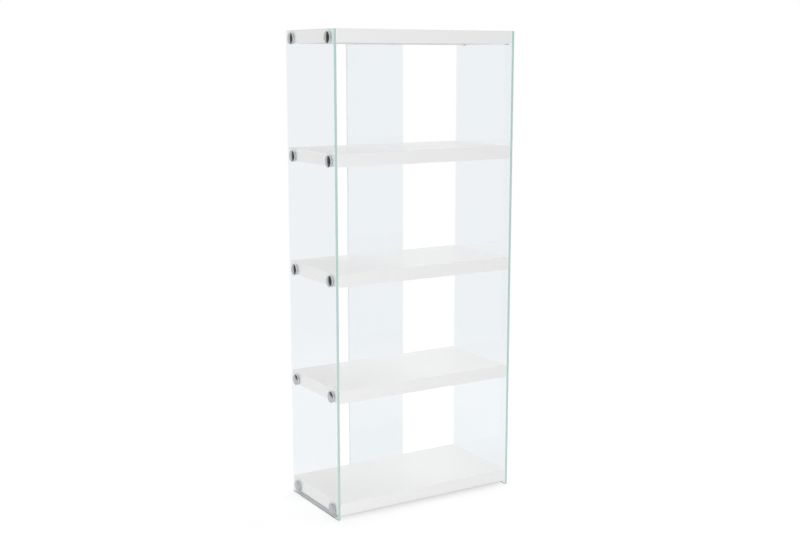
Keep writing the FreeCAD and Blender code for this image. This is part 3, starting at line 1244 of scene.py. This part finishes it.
@dataclass(frozen=True)
class Studio:
    """White floor in a white room, soft lamps and dark cards."""

    ambient: float = 0.50
    floor_tone: float = 0.5
    floor_glow: float = 0.55
    floor_lift: float = 0.53
    floor_drop: float = 0.5 * MM
    floor_radius: float = 2.6
    floor_sides: int = 64
    shadow_reach: float = 0.9
    # Patch under the bookcase without the floor's glow: painted shade over the real shadow there.
    mat_tone: float = 0.95
    mat_drop: float = 0.3 * MM
    mat_setback: float = 27 * MM
    softboxes: tuple[Softbox, ...] = (
        Softbox("front_left_lamp", (-1.9, -1.6, 0.4), aim=(0.0, 0.0, 0.25), size=1.4, watts=5.0),
        Softbox("front_lamp", (-0.9, -2.8, 2.3), aim=(0.0, 0.0, 0.7), size=2.0, watts=28.0),
        Softbox("left_lamp", (-2.6, 0.4, 0.7), aim=(0.0, 0.0, 0.5), size=2.0, watts=11.0),
        Softbox("high_left_lamp", (-2.7, 0.3, 2.2), aim=(0.0, 0.0, 0.7), size=2.0, watts=12.5),
        Softbox("back_lamp", (0.2, 2.8, 2.2), aim=(0.0, 0.0, 0.7), size=2.0, watts=27.0),
        Softbox("right_lamp", (2.7, 0.3, 2.2), aim=(0.0, 0.0, 0.7), size=2.0, watts=32.0),
        Softbox("top_lamp", (0.0, 0.0, 3.4), aim=(0.0, 0.0, 1.4), size=1.6, watts=3.0),
    )
    flags: tuple[Flag, ...] = (
        Flag("left_flag", (-1.0, 0.0, 0.0), low=0.0, high=2.00),
        Flag("far_left_flag", (-1.0, 0.0, 0.0), low=-1.30, high=-0.45),
        Flag("right_flag", (1.0, 0.0, 0.0), low=0.0, high=1.20),
        Flag("back_flag", (0.0, 1.0, 0.0), low=0.0, high=1.35),
    )

    def set_up(self) -> None:
        """Adds the room, the floor, the patch of painted shade, the lamps and the cards."""
        bpy.context.scene.view_settings.view_transform = "Standard"
        self._room()
        self._floor()
        self._mat()
        for fitting in (*self.softboxes, *self.flags):
            fitting.set_up()

    def _seen(self, tree: NodeTree) -> NodeSocket:
        """Where the camera sees a thing straight, through glass or in a reflection.

        Args:
            tree: Tree that gets the nodes.

        Returns:
            The socket that gives 1 there, and 0 for light that falls.
        """
        path = add_node(tree, "ShaderNodeLightPath").outputs
        total = path["Is Camera Ray"]
        for ray in ("Is Glossy Ray", "Is Transmission Ray"):
            both = {0: total, 1: path[ray]}
            total = add_node(tree, "ShaderNodeMath", both, operation="MAXIMUM").outputs[0]
        return total

    def _room(self) -> None:
        """White all round to the eye, and an even soft light on the bookcase."""
        world = bpy.data.worlds.new("white_room")
        bpy.context.scene.world = world
        tree = bare_tree(world)
        levels = {"Value": self._seen(tree), "To Min": self.ambient, "To Max": 1.0}
        strength = add_node(tree, "ShaderNodeMapRange", levels).outputs["Result"]
        glow = {"Color": opaque((1.0, 1.0, 1.0)), "Strength": strength}
        room = add_node(tree, "ShaderNodeBackground", glow)
        add_node(tree, "ShaderNodeOutputWorld", {"Surface": room.outputs["Background"]})

    def _floor(self) -> None:
        """White floor that keeps the bookcase's shadow and fades into the room."""
        shape = bmesh.new()
        bmesh.ops.create_circle(shape, cap_ends=True, radius=self.floor_radius, segments=self.floor_sides)
        mesh = mesh_of(shape, "floor", [self._floor_finish()])
        mesh.transform(Matrix.Translation(UP * -self.floor_drop))
        new_piece("floor", mesh)

    def _mat(self) -> None:
        """Patch without glow between the side panels' feet: real shadow under the bookcase, deepened as painted
        shade.
        """
        low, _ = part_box("left_glass_panel")
        _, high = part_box("right_glass_panel")
        front = low.y + self.mat_setback
        outline = [(low.x, front), (high.x, front), (high.x, high.y), (low.x, high.y)]
        material = bpy.data.materials.new("studio_mat")
        tree = bare_tree(material)
        plain = add_node(tree, "ShaderNodeBsdfDiffuse", {"Color": opaque((self.mat_tone,) * 3)})
        add_node(tree, "ShaderNodeOutputMaterial", {"Surface": plain.outputs["BSDF"]})
        mesh = flat_mesh("mat", [(x, y, -self.mat_drop) for x, y in outline], material)
        new_piece("mat", mesh)

    def _floor_finish(self) -> Material:
        """Material of the floor: lit near the bookcase, and plain white where it meets the room.

        Returns:
            The material.
        """
        material = bpy.data.materials.new("studio_floor")
        tree = bare_tree(material)
        seen = self._seen(tree)
        lit = add_node(tree, "ShaderNodeBsdfDiffuse", {"Color": opaque((self.floor_tone,) * 3)})
        levels = {"Value": seen, "To Min": self.floor_glow, "To Max": self.floor_lift}
        share = add_node(tree, "ShaderNodeMapRange", levels)
        lift = add_node(tree, "ShaderNodeEmission", {"Strength": share.outputs["Result"]})
        near = add_node(tree, "ShaderNodeAddShader", {0: lit.outputs["BSDF"], 1: lift.outputs["Emission"]})
        far = add_node(tree, "ShaderNodeEmission")
        place = add_node(tree, "ShaderNodeTexCoord").outputs["Object"]
        distance = add_node(tree, "ShaderNodeVectorMath", {0: place}, operation="LENGTH").outputs["Value"]
        reach = {"Value": distance, "From Min": self.shadow_reach, "From Max": self.floor_radius}
        fade = add_node(tree, "ShaderNodeMapRange", reach, interpolation_type="SMOOTHSTEP")
        both = {0: fade.outputs["Result"], 1: seen}
        faded = add_node(tree, "ShaderNodeMath", both, operation="MULTIPLY")
        ways = {"Fac": faded.outputs[0], 1: near.outputs["Shader"], 2: far.outputs["Emission"]}
        mix = add_node(tree, "ShaderNodeMixShader", ways)
        add_node(tree, "ShaderNodeOutputMaterial", {"Surface": mix.outputs["Shader"]})
        return material


@dataclass(frozen=True)
class PhotoCamera:
    """Camera at the photograph's viewing angle, in an image of the photograph's width."""

    image_width_px: float = 800.0
    focal_px: float = 1202.4
    place: Triple = (-1.8828, -3.1052, 1.3284)
    heading_deg: float = 31.246
    tilt_deg: float = 10.359

    def set_up(self) -> None:
        """Adds the camera and makes it the scene's own."""
        data = bpy.data.cameras.new("photo_camera")
        data.lens = self.focal_px * data.sensor_width / self.image_width_px
        camera = bpy.data.objects.new("photo_camera", data)
        heading, tilt = math.radians(self.heading_deg), math.radians(self.tilt_deg)
        level = math.cos(tilt)
        way = Vector((math.sin(heading) * level, math.cos(heading) * level, -math.sin(tilt)))
        camera.location = self.place
        camera.rotation_euler = facing(way)
        bpy.context.scene.collection.objects.link(camera)
        bpy.context.scene.camera = camera


def main() -> None:
    """Loads the frame and builds the bookcase and its studio round it."""
    logging.basicConfig(level=logging.INFO, format="%(name)s: %(message)s")
    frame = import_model()
    Bookcase(frame["nodes"]).build()
    Studio().set_up()
    PhotoCamera().set_up()


if __name__ == "__main__":
    main()
